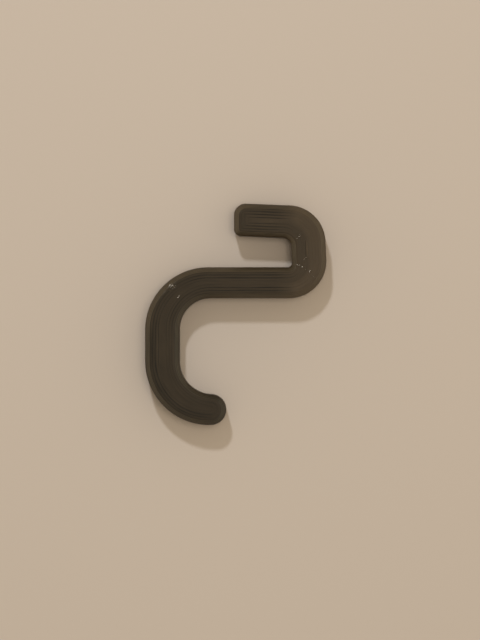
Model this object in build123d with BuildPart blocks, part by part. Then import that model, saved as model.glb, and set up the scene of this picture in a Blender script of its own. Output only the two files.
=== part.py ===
from build123d import *
from math import cos, radians, sqrt, tan
import os

# Pegboard hook, printed in one piece, for a board with tall narrow slots.
# It lies on its side, as it was printed. Looking down on it, the board's front face runs along X.
# A short prong goes behind the board, a web passes through the slot, and a shank lies against
# the board's front. An arm then stands out from the board, and its end turns up into a round tip.

# Driving dimensions, in millimetres and degrees
bar_depth = 4.7            # across the hook, a little less than the slot's 5 mm width
edge_chamfer = 0.8         # bevel along every long edge, above and below

hook_length = 29.15        # along the board's face, from the arm's outer face to the web's
shank_thickness = 5.0
board_gap = 4.6            # between shank and prong, at the foot of the web

web_thickness = 5.6
web_lean = 2.7             # the web leans back over the board
web_top_radius = 6.0       # outer corner above the prong
web_bottom_radius = 6.0    # outer corner below the shank
root_radius = 1.4          # inner corner between web and prong
seat_radius = 0.65         # inner corner between web and shank, where the slot's edge sits

prong_length = 14.9        # along the board's face, from its end to the web's outer face
prong_thickness = 5.3
prong_lean = 2.3           # the gap opens towards its mouth
back_corner_round = 1.1    # what the bevel leaves of the prong's outer corner
front_corner_round = 0.35  # what the bevel leaves of its corner next to the board

arm_thickness = 5.6
arm_length = 25.3          # from the board's face to the far side of the tip
upper_outer_radius = 10.1
upper_inner_radius = 4.95
lower_outer_radius = 10.25
lower_inner_radius = 5.3

tip_diameter = 4.95
tip_reach = 13.05          # from the arm's outer face to the end of the tip


# Straight faces. The outline is drawn with the board's face along Y = 0 and the arm's outer
# face along X = 0. A face of the web is X = a - Y * web_slope, and one of the prong is
# Y = b - X * prong_slope.
web_slope = tan(radians(web_lean))
prong_slope = tan(radians(prong_lean))


def web_meets_prong(web_at_board, prong_at_arm):
    """Point where a face of the web, given as a, crosses a face of the prong, given as b."""
    x = (web_at_board - web_slope * prong_at_arm) / (1 - web_slope * prong_slope)
    return (x, prong_at_arm - x * prong_slope)


web_outside = hook_length
web_inside = web_outside - web_thickness / cos(radians(web_lean))
prong_front = board_gap + web_inside * prong_slope
prong_back = prong_front + prong_thickness / cos(radians(prong_lean))
prong_end = web_outside - prong_length
shank_back = -shank_thickness

# The bend below the arm. Both its arcs start level with straight faces of the arm, and both
# touch the circle of the tip: the outer one from outside it, the inner one as its neighbour.
tip_radius = tip_diameter / 2
tip_x = tip_reach - tip_radius
tip_y = tip_radius - arm_length

outer_rise = sqrt((lower_outer_radius - tip_radius) ** 2 - (lower_outer_radius - tip_x) ** 2)
outer_centre = (lower_outer_radius, tip_y + outer_rise)
inner_x = arm_thickness + lower_inner_radius
inner_rise = sqrt((lower_inner_radius + tip_radius) ** 2 - (inner_x - tip_x) ** 2)
inner_centre = (inner_x, tip_y + inner_rise)


def on_tip(centre, share):
    """Point on the tip's circle, on the line from its centre to the centre of a bend's arc."""
    return (tip_x + share * (centre[0] - tip_x), tip_y + share * (centre[1] - tip_y))


tip_start = on_tip(outer_centre, -tip_radius / (lower_outer_radius - tip_radius))
tip_finish = on_tip(inner_centre, tip_radius / (lower_inner_radius + tip_radius))

# Outline, from the foot of the arm's outer face, round the prong and back to its inner face
with BuildSketch() as outline:
    with BuildLine():
        FilletPolyline(
            (0, outer_centre[1]),
            (0, 0),
            (web_inside, 0),
            web_meets_prong(web_inside, prong_front),
            (prong_end, prong_front - prong_end * prong_slope),
            (prong_end, prong_back - prong_end * prong_slope),
            web_meets_prong(web_outside, prong_back),
            (web_outside + shank_thickness * web_slope, shank_back),
            (arm_thickness, shank_back),
            (arm_thickness, inner_centre[1]),
            radius=[
                upper_outer_radius,
                seat_radius,
                root_radius,
                edge_chamfer + front_corner_round,
                edge_chamfer + back_corner_round,
                web_top_radius,
                web_bottom_radius,
                upper_inner_radius,
            ],
        )
        outer_bend = TangentArc((0, outer_centre[1]), tip_start, tangent=(0, -1))
        TangentArc(tip_start, tip_finish, tangent=outer_bend % 1)
        TangentArc((arm_thickness, inner_centre[1]), tip_finish, tangent=(0, -1))
    make_face()

# The origin is under the middle of the footprint, so the outline is shifted by its own centre
middle = outline.sketch.bounding_box().center()

with BuildPart() as hook:
    with BuildSketch(Plane((-middle.X, -middle.Y, 0))):
        add(outline.sketch)
    extrude(amount=bar_depth)
    flat_faces = hook.faces().filter_by(Axis.Z)
    chamfer(flat_faces.edges(), length=edge_chamfer)

hook.part.label = "hook"

os.makedirs("parts", exist_ok=True)
export_step(hook.part, "parts/hook.step")
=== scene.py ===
import logging
import math
from dataclasses import dataclass, field, fields
from enum import Enum

import bmesh
import bpy
from mathutils import Matrix, Vector


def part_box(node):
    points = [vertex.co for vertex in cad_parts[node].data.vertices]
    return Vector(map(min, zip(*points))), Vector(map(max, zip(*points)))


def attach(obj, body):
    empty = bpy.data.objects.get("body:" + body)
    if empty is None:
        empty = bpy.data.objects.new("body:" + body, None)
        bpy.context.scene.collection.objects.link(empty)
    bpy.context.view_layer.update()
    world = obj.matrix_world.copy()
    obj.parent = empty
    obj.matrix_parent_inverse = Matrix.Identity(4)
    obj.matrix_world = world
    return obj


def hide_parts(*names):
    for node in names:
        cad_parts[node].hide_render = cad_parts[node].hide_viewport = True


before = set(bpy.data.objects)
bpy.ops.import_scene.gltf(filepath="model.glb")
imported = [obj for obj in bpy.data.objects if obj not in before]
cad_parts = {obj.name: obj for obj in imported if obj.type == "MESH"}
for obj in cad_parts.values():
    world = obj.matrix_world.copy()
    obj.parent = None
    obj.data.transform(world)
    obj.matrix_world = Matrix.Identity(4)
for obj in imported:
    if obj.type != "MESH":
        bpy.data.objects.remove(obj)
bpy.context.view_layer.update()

# A pegboard hook printed in one piece of black PLA. It lies on its flat side on a pale table, seen
# from straight above. Its visible skin has the imported solid's form, with the print's own relief on
# it: the layers up its walls and bevels, the beads that follow its outline on both flat sides, and
# the tiny scales and the thread of plastic that the nozzle left on it. Its colour also carries painted
# light and shade: painted shade in the grooves, painted light and shade on the walls, bevels and faces,
# a painted highlight that makes the scales and the thread pale, and a dark second thread that is a
# painted shadow beside the pale one.

LOG = logging.getLogger("pegboard_hook")

MM = 0.001
Point = tuple[float, float]
Triple = tuple[float, float, float]

# What the relief's nodes read on the rough skin. The finished skin no longer has it.
SKIN_NUMBERS = ("print_phase", "groove_share", "path_mm", "bead_number", "laid_tone_and_painted_light", "eased_mm")
LUMP_VECTORS = ("lump_size", "lump_turn")
# What the plastic's material reads on the finished skin: how pale a place is, and whether it is on
# a lump. How pale a place is carries the beads' own streaks, and also painted light and shade:
# painted shade in the grooves, painted light and shade on the walls, bevels and faces, painted
# highlights on the scales and the pale thread, and a painted shadow in the dark thread.
TONE = "bead_tone_and_painted_light"
LUMP_SHARE = "lump_share"
# The factor and the term with which a Math node turns 0 to 1 into -1 to 1.
SPREAD = {1: 2.0, 2: -1.0}
# How a node keeps one number for each point.
ON_POINTS = {"data_type": "FLOAT", "domain": "POINT"}


class Side(Enum):
    """Which part of the print's skin a ring of vertices belongs to."""

    BED = "flat side that was printed on the bed"
    EDGE = "walls and bevels, built up of layers"
    TOP = "flat side that was printed last"


def linear(hex_colour: str) -> tuple[float, float, float, float]:
    """Turn an sRGB hex colour into linear values.

    Args:
        hex_colour: six hex digits after a hash sign.

    Returns:
        Red, green, blue and an alpha of 1.
    """
    channels = [int(hex_colour[i:i + 2], 16) / 255 for i in (1, 3, 5)]
    values = [c / 12.92 if c <= 0.04045 else ((c + 0.055) / 1.055) ** 2.4 for c in channels]
    return (values[0], values[1], values[2], 1.0)


def add_node(
    tree: bpy.types.NodeTree,
    kind: str,
    settings: dict[str, object] | None = None,
    inputs: dict[int | str, object] | None = None,
) -> bpy.types.Node:
    """Add a node with its settings, and set or link its inputs.

    Args:
        tree: the node tree that takes the node.
        kind: the node's type name.
        settings: properties of the node itself.
        inputs: for each input's name or number, an output socket to link, a node whose first output
            is linked, or a value to set.

    Returns:
        The new node.
    """
    node = tree.nodes.new(kind)
    for name, value in (settings or {}).items():
        setattr(node, name, value)
    for key, value in (inputs or {}).items():
        source = value.outputs[0] if isinstance(value, bpy.types.Node) else value
        if isinstance(source, bpy.types.NodeSocket):
            tree.links.new(source, node.inputs[key])
        else:
            node.inputs[key].default_value = source
    return node


@dataclass(frozen=True)
class Laid:
    """How the plastic was laid along one face or bend, and the light and shade painted on it.

    Attributes:
        edge: depth of the grooves between the two beads beside the edge, as a share of the full depth.
        middle: depth of the grooves further in, as a share of the full depth.
        tone: how much paler, or darker if below zero, the beads beside the edge are painted: partly
            the beads' own tone and partly painted light and shade, as where the web's back is painted
            lighter.
        inner_tone: the same for the beads further in.
        bevel_painted_light: painted light and shade on the walls and bevels: how much lighter, or
            darker if below zero, they are painted, by how light falls on each and what it reflects.
    """

    edge: float
    middle: float
    tone: float = 0.0
    inner_tone: float = 0.0
    bevel_painted_light: float = 0.0


@dataclass(frozen=True)
class Corner:
    """A corner of the outline, in millimetres, with the face that leads to it.

    Attributes:
        x: its place along the board's face.
        y: its place away from the board's face.
        radius: the radius that rounds it, or zero for the end of a face.
        face: how the face before it was laid, and the light and shade painted on it.
        bend: how its own round was laid, and the light and shade painted on it.
    """

    x: float
    y: float
    radius: float
    face: Laid
    bend: Laid


@dataclass(frozen=True)
class Arc:
    """One of the arcs below the arm, in millimetres and radians.

    Attributes:
        centre: its centre.
        radius: its radius on the outline itself.
        sense: 1 if it grows as the outline moves in, and -1 if it shrinks.
        start: the angle of its first point.
        turn: how far it turns, anticlockwise if above zero.
        laid: how the plastic was laid along it, and the light and shade painted on it.
    """

    centre: Point
    radius: float
    sense: int
    start: float
    turn: float
    laid: Laid


@dataclass
class Outline:
    """The hook's outline in plan, in millimetres, at any distance in from its edge.

    X runs along the board's face from the arm's outer face, and Y runs away from that face, through
    the board, to the prong.

    Attributes:
        length: along the board's face, from the arm's outer face to the web's.
        shank: thickness of the shank.
        gap: between shank and prong, at the foot of the web.
        web: thickness of the web.
        web_lean: how far the web leans back over the board, in degrees.
        prong: thickness of the prong.
        prong_length: along the board's face, from the prong's end to the web's outer face.
        prong_lean: how far the prong leans away from the shank, in degrees.
        arm: thickness of the arm.
        arm_length: from the board's face to the far side of the tip.
        tip: diameter of the tip.
        tip_reach: from the arm's outer face to the end of the tip.
        upper_bend: outer and inner radius of the bend above the arm.
        lower_bend: outer and inner radius of the bend below the arm.
        web_corners: radii of the web's outer corners, above the prong and below the shank.
        gap_corners: radii of the gap's inner corners, at the shank and at the prong.
        end_corners: radii at the prong's end, next to the board and away from it.
        straight_step: about how far apart the points on a straight face are.
        bend_step: about how far apart the points on a bend are.
        face_parts: the fewest steps that a straight face has.
        corner_parts: the fewest steps that a corner has.
        inner_centre: centre of the lower bend's inner arc, worked out from the rest.
        outer_centre: centre of its outer arc, worked out.
        tip_centre: centre of the tip, worked out.
        corners: the corners, clockwise from the arm's outer face, worked out.
        arcs: the arcs below the arm, from its inner face to its outer, worked out.
    """

    length: float = 29.15
    shank: float = 5.0
    gap: float = 4.6
    web: float = 5.6
    web_lean: float = 2.7
    prong: float = 5.3
    prong_length: float = 14.9
    prong_lean: float = 2.3
    arm: float = 5.6
    arm_length: float = 25.3
    tip: float = 4.95
    tip_reach: float = 13.05
    upper_bend: Point = (10.1, 4.95)
    lower_bend: Point = (10.25, 5.3)
    web_corners: Point = (6.0, 6.0)
    gap_corners: Point = (0.65, 1.4)
    end_corners: Point = (1.15, 1.9)
    straight_step: float = 0.32
    bend_step: float = 0.27
    face_parts: int = 2
    corner_parts: int = 14
    inner_centre: Point = field(init=False)
    outer_centre: Point = field(init=False)
    tip_centre: Point = field(init=False)
    corners: list[Corner] = field(init=False)
    arcs: list[Arc] = field(init=False)

    def __post_init__(self) -> None:
        """Work out the corners, and then the arcs below the arm."""
        web_slope = math.tan(math.radians(self.web_lean))
        prong_slope = math.tan(math.radians(self.prong_lean))
        inside = self.length - self.web / math.cos(math.radians(self.web_lean))
        front = self.gap + inside * prong_slope
        back = front + self.prong / math.cos(math.radians(self.prong_lean))
        end = self.length - self.prong_length
        shank_end = self.length + self.shank * web_slope

        def meet(a: float, b: float) -> Point:
            """Where a face of the web, X = a - slope Y, crosses one of the prong, Y = b - slope X."""
            x = (a - web_slope * b) / (1 - web_slope * prong_slope)
            return (x, b - x * prong_slope)

        radius = self.tip / 2
        self.tip_centre = (self.tip_reach - radius, radius - self.arm_length)
        outer, inner = self.lower_bend
        outer_rise = math.sqrt((outer - radius) ** 2 - (outer - self.tip_centre[0]) ** 2)
        self.outer_centre = (outer, self.tip_centre[1] + outer_rise)
        inner_x = self.arm + inner
        inner_rise = math.sqrt((inner + radius) ** 2 - (inner_x - self.tip_centre[0]) ** 2)
        self.inner_centre = (inner_x, self.tip_centre[1] + inner_rise)

        # The tones of each face below are partly the beads' own tone and partly painted light and
        # shade. The bevel tones are painted light and shade on the walls and bevels: lighter where a
        # bevel would catch light, a glint or a reflection, as on the prong's end, the shank, the web's
        # back and the bend above the arm, and darker where shade falls or less is reflected, as on the
        # arm's inner bevel.
        fine = Laid(edge=0.9, middle=0.8, tone=0.1, inner_tone=0.2, bevel_painted_light=0.15)
        end_face = Laid(edge=0.05, middle=0.0, tone=-0.1, bevel_painted_light=0.5)
        shank = Laid(edge=0.8, middle=0.12, bevel_painted_light=0.35)
        gap_side = Laid(edge=0.9, middle=0.8, tone=0.1, inner_tone=0.2, bevel_painted_light=0.4)
        web = Laid(edge=0.1, middle=0.1, tone=0.2, inner_tone=0.2, bevel_painted_light=0.3)
        root = Laid(edge=0.1, middle=0.1, tone=0.2, inner_tone=0.2, bevel_painted_light=0.6)
        web_back = Laid(edge=0.15, middle=0.1, tone=0.65, inner_tone=0.6, bevel_painted_light=0.7)
        arm_outside = Laid(edge=0.4, middle=0.5, tone=-0.3, bevel_painted_light=-0.1)
        arm_inside = Laid(edge=0.4, middle=0.4, bevel_painted_light=-0.4)
        bend = Laid(edge=0.5, middle=0.25, tone=-0.1, inner_tone=-0.1)
        bend_outside = Laid(edge=0.5, middle=0.25, tone=-0.1, inner_tone=-0.1, bevel_painted_light=0.35)
        self.corners = [
            Corner(0.0, 0.0, self.upper_bend[0], arm_outside, bend_outside),
            Corner(inside, 0.0, self.gap_corners[0], shank, web),
            Corner(*meet(inside, front), self.gap_corners[1], web, root),
            Corner(end, front - end * prong_slope, self.end_corners[0], gap_side, end_face),
            Corner(end, back - end * prong_slope, self.end_corners[1], end_face, end_face),
            Corner(*meet(self.length, back), self.web_corners[0], fine, web_back),
            Corner(shank_end, -self.shank, self.web_corners[1], web_back, web_back),
            Corner(self.arm, -self.shank, self.upper_bend[1], shank, bend),
            Corner(self.arm, self.inner_centre[1], 0.0, arm_inside, bend),
        ]
        self.arcs = self._lower_arcs()

    def _lower_arcs(self) -> list[Arc]:
        """Work out the angles of the three arcs below the arm.

        Returns:
            The arcs from the arm's inner face to its outer.
        """
        to_tip = Vector(self.tip_centre) - Vector(self.inner_centre)
        inner_end = math.atan2(to_tip.y, to_tip.x) % math.tau
        to_tip = Vector(self.tip_centre) - Vector(self.outer_centre)
        outer_start = math.atan2(to_tip.y, to_tip.x) % math.tau
        outer, inner = self.lower_bend
        tip_turn = outer_start - math.pi - inner_end
        # Their tones are partly the beads' own tone and partly painted shade: they paint the arm's
        # inner bend, the tip and the lower bend darker, and the tip's bevel darker still.
        plain = Laid(edge=0.2, middle=0.1, tone=-0.15, inner_tone=-0.15, bevel_painted_light=-0.15)
        dull = Laid(edge=0.05, middle=0.0, tone=-0.2, inner_tone=-0.2, bevel_painted_light=-0.35)
        dark = Laid(edge=0.45, middle=0.15, tone=-0.25, inner_tone=-0.15)
        return [
            Arc(self.inner_centre, inner, 1, math.pi, inner_end - math.pi, plain),
            Arc(self.tip_centre, self.tip / 2, -1, inner_end - math.pi, tip_turn, dull),
            Arc(self.outer_centre, outer, -1, outer_start, math.pi - outer_start, dark),
        ]

    def _foot(self) -> Vector:
        """Where the outline starts, at the foot of the arm's outer face."""
        return Vector((0.0, self.outer_centre[1]))

    def _turn(self, index: int) -> tuple[Vector, Vector, float]:
        """How the outline turns at a corner.

        Args:
            index: the corner's place in the list.

        Returns:
            The directions before and after it, and the turn in radians, anticlockwise above zero.
        """
        here = self.corners[index]
        last = self.corners[index - 1] if index else None
        following = self.corners[index + 1]
        at = Vector((here.x, here.y))
        before = (at - (Vector((last.x, last.y)) if last else self._foot())).normalized()
        after = (Vector((following.x, following.y)) - at).normalized()
        return before, after, math.atan2(before.x * after.y - before.y * after.x, before.dot(after))

    @staticmethod
    def _arc(centre: Point, radius: float, start: float, turn: float, parts: int) -> list[Point]:
        """Points along an arc, its first one left out.

        Args:
            centre: the arc's centre.
            radius: its radius.
            start: the angle of its first point, in radians.
            turn: how far it turns, in radians, anticlockwise if above zero.
            parts: how many steps it has.

        Returns:
            One point for each step.
        """
        angles = [start + turn * k / parts for k in range(1, parts + 1)]
        return [(centre[0] + radius * math.cos(a), centre[1] + radius * math.sin(a)) for a in angles]

    def loop(self, inset: float) -> list[tuple[Point, Laid]]:
        """Points once round the outline, moved in by a distance.

        Every loop has the same count of points, and the same number is on the same face or bend, so
        loops can be joined point to point. A corner that has shrunk to nothing keeps its points.

        Args:
            inset: distance in from the edge, in millimetres.

        Returns:
            Each point of the loop, clockwise from the foot of the arm's outer face, and how the
            plastic was laid there, with the light and shade painted there.
        """
        made: list[tuple[Point, Laid]] = [((inset, self.outer_centre[1]), self.corners[0].face)]
        plain_end = self._foot()
        for index, corner in enumerate(self.corners[:-1]):
            before, after, turn = self._turn(index)
            side = math.copysign(1, turn)
            reach = math.tan(abs(turn) / 2)
            radius = max(corner.radius + side * inset, 0.0)
            plain_at = Vector((corner.x, corner.y))
            inwards = Vector((before.y, -before.x)) * inset
            at = plain_at + inwards + before * (inset * side * reach)
            entry = at - before * radius * reach
            plain_start, plain_end = plain_end, plain_at - before * corner.radius * reach
            self._add_face(made, (plain_end - plain_start).length, entry, corner.face)
            across = Vector((-before.y, before.x)) * side
            centre = entry + across * radius
            parts = max(self.corner_parts, round(corner.radius * abs(turn) / self.bend_step))
            start = math.atan2(-across.y, -across.x)
            made += [(p, corner.bend) for p in self._arc(tuple(centre), radius, start, turn, parts)]
            plain_end = plain_at + after * corner.radius * reach
        last = self.corners[-1]
        foot = Vector((last.x - inset, last.y))
        self._add_face(made, (Vector((last.x, last.y)) - plain_end).length, foot, last.face)
        for arc in self.arcs:
            radius = arc.radius + arc.sense * inset
            parts = round(arc.radius * abs(arc.turn) / self.bend_step)
            made += [(p, arc.laid) for p in self._arc(arc.centre, radius, arc.start, arc.turn, parts)]
        return made[:-1]

    def _add_face(self, made: list[tuple[Point, Laid]], plain: float, end: Vector, laid: Laid) -> None:
        """Add the points of a straight face to a loop, up to its end.

        Args:
            made: the loop so far, which gets the points.
            plain: the face's length on the outline itself, which settles the count.
            end: the face's end on this loop.
            laid: how the face was laid, and the light and shade painted on it.
        """
        parts = max(self.face_parts, round(plain / self.straight_step))
        start = Vector(made[-1][0])
        made += [(tuple(start.lerp(end, k / parts)), laid) for k in range(1, parts + 1)]


@dataclass(frozen=True)
class Ring:
    """One loop of vertices on the skin: where it lies, and which bead or layer it is on.

    Attributes:
        inset: distance in from the outline, in millimetres.
        height: height above the table, in millimetres.
        phase: beads or layers counted up to this ring; a whole number is a groove.
        groove: share of the full groove depth that this ring can have.
        side: the part of the skin that it is on.
        from_edge: distance over the skin to the nearest long edge of a bevel, in millimetres.
    """

    inset: float
    height: float
    phase: float
    groove: float
    side: Side
    from_edge: float


@dataclass(frozen=True)
class BeadNoise:
    """Noise that runs along the beads and differs from one bead to the next.

    Attributes:
        counted: the skin's attribute that tells one bead from the next.
        along: how fast the noise changes along a bead, in steps for each millimetre.
        across: how many steps it moves on from one bead to the next.
        detail: how many finer levels it has.
    """

    counted: str
    along: float
    across: float
    detail: float


@dataclass(frozen=True)
class Lump:
    """A tiny scale or thread of plastic that the nozzle left, or a painted shadow beside a thread, in
    the frame's own millimetres.

    Attributes:
        x: its place along the board's face.
        y: its place away from the board.
        turn: the direction that its length points to, in degrees from X.
        length: its length.
        width: its width.
        tilt: how far its surface leans towards the lean direction, in degrees.
        thickness: its thickness.
        lean_towards: the direction that its surface leans to, in degrees from X.
        tone: how pale it is painted, from dark at 0 to pale at 1 and more; above the plastic's own
        near-black this is a painted highlight, and a dark thread paints a shadow.
    """

    x: float
    y: float
    turn: float
    length: float
    width: float
    tilt: float = 22.5
    thickness: float = 0.04
    lean_towards: float = 138.0
    tone: float = 1.6

    def rotation(self) -> Vector:
        """How it is turned.

        Returns:
            The angles about X, Y and Z.
        """
        lean, towards, turn = (math.radians(a) for a in (self.tilt, self.lean_towards, self.turn))
        slant = math.sin(lean)
        up = Vector((slant * math.cos(towards), slant * math.sin(towards), math.cos(lean)))
        flat_length = Vector((math.cos(turn), math.sin(turn), 0.0))
        along = (flat_length - up * flat_length.dot(up)).normalized()
        return Vector(Matrix((along, up.cross(along), up)).transposed().to_euler())


@dataclass
class PrintedHook:
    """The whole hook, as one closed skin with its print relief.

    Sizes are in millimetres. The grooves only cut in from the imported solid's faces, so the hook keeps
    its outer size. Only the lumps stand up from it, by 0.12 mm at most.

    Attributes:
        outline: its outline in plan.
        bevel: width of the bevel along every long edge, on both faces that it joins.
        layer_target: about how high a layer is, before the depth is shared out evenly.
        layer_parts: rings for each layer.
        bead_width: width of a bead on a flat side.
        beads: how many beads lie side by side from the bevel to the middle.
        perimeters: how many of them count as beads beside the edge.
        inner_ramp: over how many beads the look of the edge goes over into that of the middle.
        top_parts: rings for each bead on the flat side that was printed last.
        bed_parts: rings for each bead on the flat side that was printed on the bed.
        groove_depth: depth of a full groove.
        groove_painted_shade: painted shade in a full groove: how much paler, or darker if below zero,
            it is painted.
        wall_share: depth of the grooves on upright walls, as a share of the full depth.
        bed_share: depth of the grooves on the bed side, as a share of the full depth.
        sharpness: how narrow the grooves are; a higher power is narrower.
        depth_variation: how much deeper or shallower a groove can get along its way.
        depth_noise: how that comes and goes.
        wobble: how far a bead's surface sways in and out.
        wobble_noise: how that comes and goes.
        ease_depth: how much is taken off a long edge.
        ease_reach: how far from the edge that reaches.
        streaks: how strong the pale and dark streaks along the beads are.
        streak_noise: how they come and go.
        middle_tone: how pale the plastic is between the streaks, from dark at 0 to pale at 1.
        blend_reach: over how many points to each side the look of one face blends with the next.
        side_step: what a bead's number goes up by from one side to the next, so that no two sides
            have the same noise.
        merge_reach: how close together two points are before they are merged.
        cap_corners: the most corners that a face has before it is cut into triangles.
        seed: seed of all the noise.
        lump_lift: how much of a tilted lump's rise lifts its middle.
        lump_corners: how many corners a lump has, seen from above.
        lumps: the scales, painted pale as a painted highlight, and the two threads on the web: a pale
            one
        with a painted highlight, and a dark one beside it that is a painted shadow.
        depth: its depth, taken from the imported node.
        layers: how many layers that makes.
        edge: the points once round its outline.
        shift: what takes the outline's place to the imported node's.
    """

    outline: Outline = field(default_factory=Outline)
    bevel: float = 0.8
    layer_target: float = 0.2
    layer_parts: int = 4
    bead_width: float = 0.46
    beads: float = 3.5
    perimeters: int = 2
    inner_ramp: float = 0.25
    top_parts: int = 8
    bed_parts: int = 4
    groove_depth: float = 0.02
    groove_painted_shade: float = -1.2
    wall_share: float = 0.55
    bed_share: float = 0.25
    sharpness: float = 4.0
    depth_variation: float = 0.8
    depth_noise: BeadNoise = BeadNoise("bead_number", along=0.45, across=7.31, detail=2.0)
    wobble: float = 0.008
    wobble_noise: BeadNoise = BeadNoise("bead_number", along=0.8, across=3.17, detail=1.0)
    ease_depth: float = 0.05
    ease_reach: float = 0.45
    streaks: float = 0.5
    streak_noise: BeadNoise = BeadNoise("print_phase", along=0.22, across=2.6, detail=3.0)
    middle_tone: float = 0.7
    blend_reach: int = 6
    side_step: int = 40
    merge_reach: float = 0.0002
    cap_corners: int = 8
    seed: int = 7
    lump_lift: float = 0.08
    lump_corners: int = 10
    lumps: tuple[Lump, ...] = (
        # Each scale is painted pale as a painted highlight, besides the glint that the glint lamp gives
        # it
        Lump(-10.57, 4.64, 47, 0.78, 0.12),
        Lump(-10.20, 4.55, 47, 0.88, 0.12),
        Lump(-9.88, 4.39, 47, 0.72, 0.11),
        Lump(-10.71, 3.95, 48, 0.26, 0.09, tilt=24.0),
        Lump(-10.50, 3.78, 48, 0.26, 0.08, tilt=24.5),
        Lump(-9.19, 2.75, 52, 0.66, 0.11),
        Lump(-11.15, 0.25, 60, 0.20, 0.08, tilt=24.5),
        Lump(9.82, 7.96, 140, 0.30, 0.10),
        Lump(10.16, 7.88, 50, 0.26, 0.10, tilt=24.0),
        Lump(10.61, 7.62, 132, 0.46, 0.09),
        Lump(11.20, 7.20, 60, 0.22, 0.08, tilt=25.0),
        Lump(11.81, 6.87, 52, 0.46, 0.09),
        Lump(12.37, 6.07, 130, 0.24, 0.09, tilt=24.5),
        Lump(12.75, 5.83, 130, 0.28, 0.09, tilt=24.0),
        Lump(9.86, 12.07, 20, 0.30, 0.10, tilt=24.0),
        Lump(10.21, 12.46, 30, 0.42, 0.11),
        Lump(11.00, 8.82, 60, 0.30, 0.12),
        Lump(11.27, 9.09, 10, 0.44, 0.12, tilt=24.0),
        # A pale thread, painted pale as a painted highlight, and beside it a dark thread that is its
        # painted shadow
        Lump(11.40, 10.55, 92, 2.70, 0.13, tilt=0.0, tone=2.2),
        Lump(11.19, 10.55, 92, 2.60, 0.10, tilt=0.0, tone=0.5),
    )
    depth: float = field(init=False)
    layers: int = field(init=False)
    edge: list[Point] = field(init=False)
    shift: Vector = field(init=False)

    def __post_init__(self) -> None:
        """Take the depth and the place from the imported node."""
        low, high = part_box("hook")
        self.depth = (high.z - low.z) / MM
        self.layers = round(self.depth / self.layer_target)
        self.edge = [point for point, _ in self.outline.loop(0.0)]
        left, front = (min(point[axis] for point in self.edge) for axis in (0, 1))
        self.shift = Vector((low.x / MM - left, low.y / MM - front))

    def _flat_rings(self, height: float, parts: int, share: float, side: Side) -> list[Ring]:
        """The rings of one flat side.

        Args:
            height: its height above the table.
            parts: rings for each bead.
            share: depth of its grooves, as a share of the full depth.
            side: which flat side it is.

        Returns:
            The rings from the bevel to the middle.
        """
        phases = [k / parts for k in range(round(self.beads * parts) + 1)]
        width = self.bead_width
        return [Ring(self.bevel + p * width, height, p, share, side, p * width) for p in phases]

    def _edge_rings(self) -> list[Ring]:
        """The rings of the walls and bevels.

        Returns:
            The rings from the bed up, without those of the flat sides.
        """
        made = []
        layer = self.depth / self.layers
        total = self.layers * self.layer_parts
        for k in range(1, total):
            height = self.depth * k / total
            from_face = min(height, self.depth - height)
            inset = max(self.bevel - from_face, 0.0)
            slant = min(inset / layer, 1.0)
            share = self.wall_share + (1 - self.wall_share) * slant
            from_edge = from_face - self.bevel
            if from_edge < 0:
                from_edge = min(from_face, -from_edge) * math.sqrt(2)
            made.append(Ring(inset, height, k / self.layer_parts, share, Side.EDGE, from_edge))
        return made

    def rings(self) -> list[Ring]:
        """The skin's rings, from the middle of the bed side, over the edge, to the top's middle.

        Returns:
            The rings in order.
        """
        bed = self._flat_rings(0.0, self.bed_parts, self.bed_share, Side.BED)
        top = self._flat_rings(self.depth, self.top_parts, 1.0, Side.TOP)
        return bed[::-1] + self._edge_rings() + top

    def blended(self, values: list[float]) -> list[float]:
        """Average values with their neighbours round the outline, so that no step shows.

        Args:
            values: one value for each point of the outline.

        Returns:
            The averaged values.
        """
        reach = self.blend_reach
        count = len(values)
        spans = ([values[(i + k) % count] for k in range(-reach, reach + 1)] for i in range(count))
        return [sum(span) / len(span) for span in spans]

    def _lay_rings(self, shape: bmesh.types.BMesh) -> None:
        """Add the skin's vertices, with what the relief needs to know, and its faces.

        Args:
            shape: the skin's mesh, which has the layers for it.
        """
        note = {name: shape.verts.layers.float[name] for name in SKIN_NUMBERS}
        laid = [how for _, how in self.outline.loop(0.0)]
        edge, middle, tone, inner_tone, bevel_painted_light = (
            self.blended([getattr(how, part.name) for how in laid]) for part in fields(Laid)
        )
        along = [0.0]
        for one, two in zip(self.edge, self.edge[1:]):
            along.append(along[-1] + math.dist(one, two))
        rows = []
        for ring in self.rings():
            inner = (ring.phase - self.perimeters - self.inner_ramp) / self.inner_ramp
            inner = min(max(inner, 0.0), 1.0)
            near_edge = max(1 - ring.from_edge / self.ease_reach, 0.0)
            row = []
            for index, ((x, y), _) in enumerate(self.outline.loop(ring.inset)):
                vertex = shape.verts.new(Vector((x + self.shift.x, y + self.shift.y, ring.height)) * MM)
                # paler is painted light and shade on the walls and bevels, and on the flat sides the
                # beads' own tone together with painted light and shade
                share, paler = ring.groove, bevel_painted_light[index]
                if ring.side is Side.TOP:
                    share *= edge[index] * (1 - inner) + middle[index] * inner
                    paler = tone[index] * (1 - inner) + inner_tone[index] * inner
                vertex[note["print_phase"]] = ring.phase
                vertex[note["groove_share"]] = share
                vertex[note["path_mm"]] = along[index]
                vertex[note["bead_number"]] = (
                    math.floor(ring.phase) + self.side_step * list(Side).index(ring.side)
                )
                vertex[note["laid_tone_and_painted_light"]] = paler
                vertex[note["eased_mm"]] = self.ease_depth * near_edge ** 2
                row.append(vertex)
            rows.append(row)
        for lower, upper in zip(rows, rows[1:]):
            for index in range(len(lower)):
                after = (index + 1) % len(lower)
                shape.faces.new((lower[index], upper[index], upper[after], lower[after]))
        shape.faces.new(rows[0])
        shape.faces.new(rows[-1][::-1])

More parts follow.
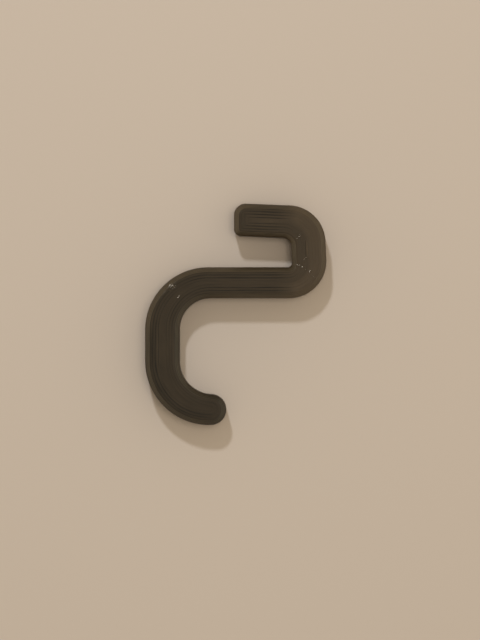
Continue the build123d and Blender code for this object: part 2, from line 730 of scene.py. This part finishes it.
    def _clean(self, shape: bmesh.types.BMesh) -> None:
        """Merge the points that meet, cut the caps into triangles and turn all faces outwards.

        Args:
            shape: the skin's mesh.
        """
        near = self.merge_reach * MM
        bmesh.ops.remove_doubles(shape, verts=shape.verts, dist=near)
        bmesh.ops.dissolve_degenerate(shape, edges=shape.edges, dist=near)
        caps = [face for face in shape.faces if len(face.verts) > self.cap_corners]
        bmesh.ops.triangulate(shape, faces=caps)
        bmesh.ops.recalc_face_normals(shape, faces=shape.faces)
        for face in shape.faces:
            face.smooth = True

    def _mark_lumps(self, shape: bmesh.types.BMesh) -> None:
        """Add a loose vertex for each lump, with its size, its turn and its tone, which paints it pale
        as a highlight or dark as a shadow.

        Args:
            shape: the skin's mesh, which has the layers for it.
        """
        size, turn = (shape.verts.layers.float_vector[name] for name in LUMP_VECTORS)
        tone = shape.verts.layers.float[TONE]
        for lump in self.lumps:
            place = (lump.x - self.shift.x, lump.y - self.shift.y)
            drop = max(self.bevel - min(math.dist(place, point) for point in self.edge), 0.0)
            lift = self.lump_lift * lump.length * math.sin(math.radians(lump.tilt))
            vertex = shape.verts.new(Vector((lump.x, lump.y, self.depth - drop + lift)) * MM)
            vertex[size] = Vector((lump.length, lump.width, lump.thickness)) * (MM / 2)
            vertex[turn] = lump.rotation()
            # Painted highlight on the scales and the pale thread, and painted shadow in the dark thread
            vertex[tone] = lump.tone

    def skin(self) -> bpy.types.Object:
        """Build the closed skin, with what the print relief needs as attributes.

        Returns:
            The skin's object, at the origin, with its place in its mesh.
        """
        shape = bmesh.new()
        for name in (*SKIN_NUMBERS, TONE):
            shape.verts.layers.float.new(name)
        for name in LUMP_VECTORS:
            shape.verts.layers.float_vector.new(name)
        self._lay_rings(shape)
        self._clean(shape)
        self._mark_lumps(shape)
        mesh = bpy.data.meshes.new("hook_print")
        shape.to_mesh(mesh)
        shape.free()
        thing = bpy.data.objects.new("hook_print", mesh)
        bpy.context.scene.collection.objects.link(thing)
        return thing

    def relief_inputs(self) -> dict[str, float]:
        """The relief's sizes and strengths.

        Returns:
            A value for each of the tree's named numbers, with its sizes in metres.
        """
        return {
            "Groove depth": self.groove_depth * MM,
            "Groove painted shade": self.groove_painted_shade,
            "Sharpness": self.sharpness,
            "Depth variation": self.depth_variation,
            "Wobble": self.wobble * MM,
            "Streaks": self.streaks,
            "Middle tone": self.middle_tone,
            "Seed": float(self.seed),
        }

    def relief_tree(self) -> bpy.types.NodeTree:
        """Geometry Nodes that press the print's grooves into the skin and set its lumps on it.

        Returns:
            The tree, with named inputs for its sizes.
        """
        tree = bpy.data.node_groups.new("print_relief", "GeometryNodeTree")
        face = tree.interface
        face.new_socket("Geometry", in_out="INPUT", socket_type="NodeSocketGeometry")
        for name in self.relief_inputs():
            face.new_socket(name, in_out="INPUT", socket_type="NodeSocketFloat")
        face.new_socket("Material", in_out="INPUT", socket_type="NodeSocketMaterial")
        face.new_socket("Geometry", in_out="OUTPUT", socket_type="NodeSocketGeometry")
        given = {socket.name: socket for socket in add_node(tree, "NodeGroupInput").outputs}
        read = {
            name: add_node(tree, "GeometryNodeInputNamedAttribute", {"data_type": kind}, {"Name": name})
            for kind, names in (("FLOAT", SKIN_NUMBERS), ("FLOAT_VECTOR", LUMP_VECTORS))
            for name in names
        }
        size = add_node(tree, "ShaderNodeVectorMath", {"operation": "LENGTH"}, {0: read["lump_size"]})
        is_lump = add_node(tree, "ShaderNodeMath", {"operation": "GREATER_THAN"}, {
            0: size.outputs["Value"], 1: 0.0,
        })
        parted = add_node(tree, "GeometryNodeSeparateGeometry", {"domain": "POINT"}, {
            "Geometry": given["Geometry"], "Selection": is_lump,
        })
        skin = self._grooved_skin(tree, {**given, **read}, parted.outputs["Inverted"])
        lumps = self._set_lumps(tree, read, parted.outputs["Selection"])
        joined = add_node(tree, "GeometryNodeJoinGeometry")
        for made in (skin, lumps):
            tree.links.new(made.outputs[0], joined.inputs[0])
        plain = add_node(tree, "GeometryNodeRealizeInstances", None, {"Geometry": joined})
        dressed = add_node(tree, "GeometryNodeSetMaterial", None, {
            "Geometry": plain, "Material": given["Material"],
        })
        add_node(tree, "NodeGroupOutput", None, {"Geometry": dressed})
        return tree

    def _grooved_skin(
        self,
        tree: bpy.types.NodeTree,
        sources: dict[str, object],
        skin: bpy.types.NodeSocket,
    ) -> bpy.types.Node:
        """Press the grooves into the skin and note how pale each place on it is, with painted shade in
        the grooves and the painted light and shade of each face.

        Args:
            tree: the relief's tree.
            sources: the tree's inputs and the skin's attributes, by name.
            skin: the smooth skin.

        Returns:
            The node that gives the grooved skin.
        """
        known = dict(sources)
        noises = {
            "depth noise": self.depth_noise,
            "wobble noise": self.wobble_noise,
            "streak noise": self.streak_noise,
        }
        for name, noise in noises.items():
            along = add_node(tree, "ShaderNodeMath", {"operation": "MULTIPLY"}, {
                0: known["path_mm"], 1: noise.along,
            })
            across = add_node(tree, "ShaderNodeMath", {"operation": "MULTIPLY"}, {
                0: known[noise.counted], 1: noise.across,
            })
            place = add_node(tree, "ShaderNodeCombineXYZ", None, {
                "X": along, "Y": across, "Z": known["Seed"],
            })
            texture = add_node(tree, "ShaderNodeTexNoise", None, {
                "Vector": place, "Scale": 1.0, "Detail": noise.detail,
            })
            known[name] = add_node(tree, "ShaderNodeMath", {"operation": "MULTIPLY_ADD"}, {
                0: texture, **SPREAD,
            })
        # One Math node for each line: what it gives, its operation, and what that works on.
        steps = (
            ("part of bead", "FRACT", "print_phase"),
            ("place on bead", "MULTIPLY_ADD", "part of bead", *SPREAD.values()),
            ("from crest", "ABSOLUTE", "place on bead"),
            ("groove", "POWER", "from crest", "Sharpness"),
            ("evenness", "MULTIPLY_ADD", "depth noise", "Depth variation", 1.0),
            ("laid groove", "MULTIPLY", "groove", "groove_share"),
            ("share", "MULTIPLY", "laid groove", "evenness"),
            ("cut", "MULTIPLY", "share", "Groove depth"),
            ("sway", "MULTIPLY", "wobble noise", "Wobble"),
            ("rise", "SUBTRACT", "sway", "cut"),
            ("eased rise", "MULTIPLY_ADD", "eased_mm", -MM, "rise"),
            ("streaked", "MULTIPLY_ADD", "streak noise", "Streaks", "Middle tone"),
            # Painted shade: a full groove is painted darker; then each face's painted light and shade
            # is added
            ("grooved", "MULTIPLY_ADD", "share", "Groove painted shade", "streaked"),
            ("tone", "ADD", "grooved", "laid_tone_and_painted_light"),
        )
        for name, operation, *values in steps:
            known[name] = add_node(tree, "ShaderNodeMath", {"operation": operation}, {
                place: known.get(value, value) for place, value in enumerate(values)
            })
        normal = add_node(tree, "GeometryNodeInputNormal")
        offset = add_node(tree, "ShaderNodeVectorMath", {"operation": "SCALE"}, {
            0: normal, "Scale": known["eased rise"],
        })
        moved = add_node(tree, "GeometryNodeSetPosition", None, {"Geometry": skin, "Offset": offset})
        return add_node(tree, "GeometryNodeStoreNamedAttribute", ON_POINTS, {
            "Geometry": moved, "Name": TONE, "Value": known["tone"],
        })

    def _set_lumps(
        self,
        tree: bpy.types.NodeTree,
        read: dict[str, bpy.types.Node],
        places: bpy.types.NodeSocket,
    ) -> bpy.types.Node:
        """Set a lump on each place that is marked for one.

        Args:
            tree: the relief's tree.
            read: the skin's attributes, by name.
            places: the loose vertices.

        Returns:
            The node that gives the lumps.
        """
        # A lump's half sizes stretch a disc of radius 1 that is 2 thick
        radius = 1.0
        disc = add_node(tree, "GeometryNodeMeshCylinder", None, {
            "Vertices": self.lump_corners, "Radius": radius, "Depth": 2 * radius,
        })
        set_down = add_node(tree, "GeometryNodeInstanceOnPoints", None, {
            "Points": places,
            "Instance": disc,
            "Rotation": read["lump_turn"],
            "Scale": read["lump_size"],
        })
        whole = add_node(tree, "GeometryNodeRealizeInstances", None, {"Geometry": set_down})
        marked = add_node(tree, "GeometryNodeStoreNamedAttribute", ON_POINTS, {
            "Geometry": whole, "Name": LUMP_SHARE, "Value": 1.0,
        })
        return add_node(tree, "GeometryNodeSetShadeSmooth", None, {
            "Geometry": marked, "Shade Smooth": False,
        })

    def build(self, material: bpy.types.Material) -> bpy.types.Object:
        """Args:
            material: the plastic it is printed of.

        Returns:
            The finished piece.
        """
        thing = self.skin()
        tree = self.relief_tree()
        modifier = thing.modifiers.new("print_relief", "NODES")
        modifier.node_group = tree
        values = {**self.relief_inputs(), "Material": material}
        for item in tree.interface.items_tree:
            if item.in_out == "INPUT" and item.name in values:
                modifier[item.identifier] = values[item.name]
        thing.data.update()
        bpy.context.view_layer.update()
        evaluated = thing.evaluated_get(bpy.context.evaluated_depsgraph_get())
        mesh = bpy.data.meshes.new_from_object(evaluated)
        thing.modifiers.remove(modifier)
        rough = thing.data
        thing.data = mesh
        bpy.data.meshes.remove(rough)
        for name in SKIN_NUMBERS + LUMP_VECTORS:
            if name in mesh.attributes:
                mesh.attributes.remove(mesh.attributes[name])
        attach(thing, "root")
        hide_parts("hook")
        return thing


@dataclass(frozen=True)
class BlackPla:
    """Black PLA, printed, which set in the air as it left the nozzle.

    Attributes:
        dark: the darkest streaks, where a bead was laid thin; the painted shade in the grooves and on
            some bevels goes towards it and past it.
        pale: the palest ones, where the bead's surface scatters more light; the painted light on the
            bevels and the painted highlights on the scales and the thread go towards it and past it.
        ior: its refractive index, the usual one for PLA.
        specular: strength of its gloss; a half is that of its refractive index.
        roughness: lowest and highest roughness.
        lump_roughness: roughness of the lumps, which set with a smoother skin.
        patch_mm: size of the patches that differ a little in gloss.
        patch_detail: how many finer levels the patches have.
        patch_falloff: how strong each finer level is beside the one before it.
        grain_mm: size of the fine unevenness of the melt.
        grain_detail: how many finer levels the unevenness has.
        grain_height_mm: how high that unevenness is.
    """

    dark: str = "#1A140A"
    pale: str = "#3B2F20"
    ior: float = 1.46
    specular: float = 0.45
    roughness: Point = (0.28, 0.36)
    lump_roughness: float = 0.22
    patch_mm: float = 2.5
    patch_detail: float = 3.0
    patch_falloff: float = 0.6
    grain_mm: float = 0.3
    grain_detail: float = 2.0
    grain_height_mm: float = 0.004

    def material(self) -> bpy.types.Material:
        """Make the material.

        Returns:
            The black PLA.
        """
        # To the eye: a warm near-black with fine pale and dark streaks along the beads, a soft low
        # gloss that is a little uneven, and small sharp glints on the scales. Its colour also carries
        # painted shade in the grooves, painted light and shade on the walls and bevels, and painted
        # highlights that make the scales and a thread pale.
        made = bpy.data.materials.new("printed_black_pla")
        made.use_nodes = True
        tree = made.node_tree
        tree.nodes.clear()
        place = add_node(tree, "ShaderNodeTexCoord").outputs["Object"]
        patches = add_node(tree, "ShaderNodeTexNoise", None, {
            "Vector": place,
            "Scale": 1 / (self.patch_mm * MM),
            "Detail": self.patch_detail,
            "Roughness": self.patch_falloff,
        })
        grain = add_node(tree, "ShaderNodeTexNoise", None, {
            "Vector": place, "Scale": 1 / (self.grain_mm * MM), "Detail": self.grain_detail,
        })
        # This tone carries the beads' streaks, and also painted light and shade: painted shade in the
        # grooves, painted light and shade on the walls, bevels and faces, painted highlights on the
        # scales and the thread, and a painted shadow in the dark thread
        streaks = add_node(tree, "ShaderNodeAttribute", {"attribute_name": TONE})
        tone = add_node(tree, "ShaderNodeMix", {"data_type": "RGBA", "clamp_factor": False}, {
            "Factor": streaks.outputs["Fac"], "A": linear(self.dark), "B": linear(self.pale),
        })
        patchy = add_node(tree, "ShaderNodeMapRange", None, {
            "Value": patches, "To Min": self.roughness[0], "To Max": self.roughness[1],
        })
        on_lump = add_node(tree, "ShaderNodeAttribute", {"attribute_name": LUMP_SHARE}).outputs["Fac"]
        gloss = add_node(tree, "ShaderNodeMix", {"data_type": "FLOAT"}, {
            "Factor": on_lump, "A": patchy, "B": self.lump_roughness,
        })
        off_lump = add_node(tree, "ShaderNodeMath", {"operation": "SUBTRACT"}, {0: 1.0, 1: on_lump})
        relief = add_node(tree, "ShaderNodeBump", None, {
            "Strength": off_lump, "Height": grain, "Distance": self.grain_height_mm * MM,
        })
        skin = add_node(tree, "ShaderNodeBsdfPrincipled", None, {
            "Base Color": tone.outputs["Result"],
            "Roughness": gloss.outputs["Result"],
            "IOR": self.ior,
            "Specular IOR Level": self.specular,
            "Normal": relief,
        })
        add_node(tree, "ShaderNodeOutputMaterial", None, {"Surface": skin})
        return made


@dataclass(frozen=True)
class PalePaint:
    """Pale matt paint on the table that the hook lies on.

    Attributes:
        colour: the paint's colour.
        roughness: how matt it is.
    """

    colour: str = "#BFAE9D"
    roughness: float = 0.9

    def material(self) -> bpy.types.Material:
        """Make the material.

        Returns:
            The table's paint.
        """
        # To the eye: an even warm grey without gloss, on which only the hook's soft shadow shows
        made = bpy.data.materials.new("pale_matt_paint")
        made.use_nodes = True
        tree = made.node_tree
        tree.nodes.clear()
        skin = add_node(tree, "ShaderNodeBsdfPrincipled", None, {
            "Base Color": linear(self.colour), "Roughness": self.roughness,
        })
        add_node(tree, "ShaderNodeOutputMaterial", None, {"Surface": skin})
        return made


@dataclass(frozen=True)
class Lamp:
    """A round lamp that shines on the hook.

    Attributes:
        name: what it is called.
        towards: direction from the hook to the lamp, of any length.
        size: its diameter, in metres.
        power: its power in watts.
        colour: its linear colour.
        distance: how far away it hangs, in metres.
        gloss: True if it only shows as a glint on glossy plastic, False if it only lights and casts
            shadows, as a wide soft source would.
    """

    name: str
    towards: Triple
    size: float
    power: float
    colour: Triple
    distance: float = 0.6
    gloss: bool = False

    def hang(self) -> None:
        """Put the lamp in the scene, turned to the hook."""
        lamp = bpy.data.lights.new(self.name, "AREA")
        lamp.shape = "DISK"
        lamp.size = self.size
        lamp.energy = self.power
        lamp.color = self.colour
        thing = bpy.data.objects.new(self.name, lamp)
        direction = Vector(self.towards).normalized()
        thing.location = direction * self.distance
        thing.rotation_euler = direction.to_track_quat("Z", "Y").to_euler()
        thing.visible_diffuse = not self.gloss
        thing.visible_glossy = self.gloss
        bpy.context.scene.collection.objects.link(thing)


@dataclass(frozen=True)
class Studio:
    """The plain table, the soft light and the camera.

    Attributes:
        table_size: width of the table, in metres.
        low_colour: linear colour of the room's light from its sides.
        overhead_colour: linear colour of its light from above.
        low_level: strength of the light from the sides.
        side_glow: what is added to that on the left and on the right.
        overhead_level: strength of the light from above.
        right_glow: how much stronger that gets towards the right, as a share of it.
        low_band: heights between which the one light goes over into the other, from 0 at the table's
            level to 1 straight above.
        lamps: the lamps that hang over the table.
        look_at: the place that the camera looks at, in millimetres.
        view_height: the camera's height above that place, in metres.
        frame_height: height of the camera's frame at that place, in metres.
        sensor_height: height of the camera's sensor, in millimetres.
    """

    table_size: float = 3.0
    low_colour: Triple = (1.19, 0.97, 0.60)
    overhead_colour: Triple = (1.05, 1.0, 0.88)
    low_level: float = 0.95
    side_glow: float = 0.75
    overhead_level: float = 0.36
    right_glow: float = 1.0
    low_band: Point = (0.12, 0.42)
    lamps: tuple[Lamp, ...] = (
        Lamp("key", (-0.26, 1.0, 1.0), size=0.05, power=1.6, colour=(0.88, 1.0, 1.16)),
        Lamp("fill", (0.15, 0.05, 1.0), size=0.25, power=0.85, colour=(1.04, 1.0, 0.92)),
        Lamp("glint", (-0.74, 0.67, 1.0), size=0.03, power=0.25, colour=(1.1, 1.0, 0.84), gloss=True),
    )
    look_at: Triple = (0.68, -0.91, 3.9)
    view_height: float = 0.60
    frame_height: float = 102.5 * MM
    sensor_height: float = 24.0

    def build(self) -> None:
        """Make the table, the light and the camera."""
        self.table()
        self.room_light()
        for lamp in self.lamps:
            lamp.hang()
        self.camera()

    def table(self) -> None:
        """Lay a plain pale table under the hook."""
        half = self.table_size / 2
        mesh = bpy.data.meshes.new("table")
        corners = [(-half, -half, 0), (half, -half, 0), (half, half, 0), (-half, half, 0)]
        mesh.from_pydata(corners, [], [(0, 1, 2, 3)])
        mesh.materials.append(PalePaint().material())
        thing = bpy.data.objects.new("table", mesh)
        bpy.context.scene.collection.objects.link(thing)

    def room_light(self) -> None:
        """Light the table softly from the whole room, a little more from its sides than from above."""
        world = bpy.data.worlds.new("room")
        world.use_nodes = True
        tree = world.node_tree
        tree.nodes.clear()
        direction = add_node(tree, "ShaderNodeTexCoord").outputs["Generated"]
        parts = add_node(tree, "ShaderNodeSeparateXYZ", None, {"Vector": direction}).outputs
        sideways = add_node(tree, "ShaderNodeMath", {"operation": "MULTIPLY"}, {
            0: parts["X"], 1: parts["X"],
        })
        low = add_node(tree, "ShaderNodeMath", {"operation": "MULTIPLY_ADD"}, {
            0: sideways, 1: self.side_glow, 2: self.low_level,
        })
        rightwards = add_node(tree, "ShaderNodeMath", {"operation": "MAXIMUM"}, {0: parts["X"], 1: 0.0})
        gain = add_node(tree, "ShaderNodeMath", {"operation": "MULTIPLY_ADD"}, {
            0: rightwards, 1: self.right_glow, 2: 1.0,
        })
        high = add_node(tree, "ShaderNodeMath", {"operation": "MULTIPLY"}, {
            0: gain, 1: self.overhead_level,
        })
        height = add_node(tree, "ShaderNodeMapRange", {"interpolation_type": "SMOOTHSTEP"}, {
            "Value": parts["Z"], "From Min": self.low_band[0], "From Max": self.low_band[1],
        })
        level = add_node(tree, "ShaderNodeMix", {"data_type": "FLOAT"}, {
            "Factor": height, "A": low, "B": high,
        })
        colour = add_node(tree, "ShaderNodeMix", {"data_type": "RGBA"}, {
            "Factor": height, "A": (*self.low_colour, 1.0), "B": (*self.overhead_colour, 1.0),
        })
        glow = add_node(tree, "ShaderNodeBackground", None, {
            "Color": colour.outputs["Result"], "Strength": level.outputs["Result"],
        })
        add_node(tree, "ShaderNodeOutputWorld", None, {"Surface": glow})
        bpy.context.scene.world = world

    def camera(self) -> None:
        """Look straight down, as the photograph does, with its frame around the hook."""
        lens = bpy.data.cameras.new("photo_view")
        lens.sensor_fit = "VERTICAL"
        lens.sensor_height = self.sensor_height
        lens.lens = self.sensor_height * self.view_height / self.frame_height
        thing = bpy.data.objects.new("photo_view", lens)
        thing.location = Vector(self.look_at) * MM + Vector((0, 0, self.view_height))
        bpy.context.scene.collection.objects.link(thing)
        bpy.context.scene.camera = thing


def main() -> None:
    """Build the hook, then the room around it, and report each."""
    logging.basicConfig(level=logging.INFO, format="%(name)s: %(message)s")
    bpy.context.scene.view_settings.view_transform = "Standard"
    hook = PrintedHook().build(BlackPla().material())
    LOG.info("%s: %d vertices, %d faces", hook.name, len(hook.data.vertices), len(hook.data.polygons))
    Studio().build()
    LOG.info("table, lamps, room light and camera are in place")


if __name__ == "__main__":
    main()
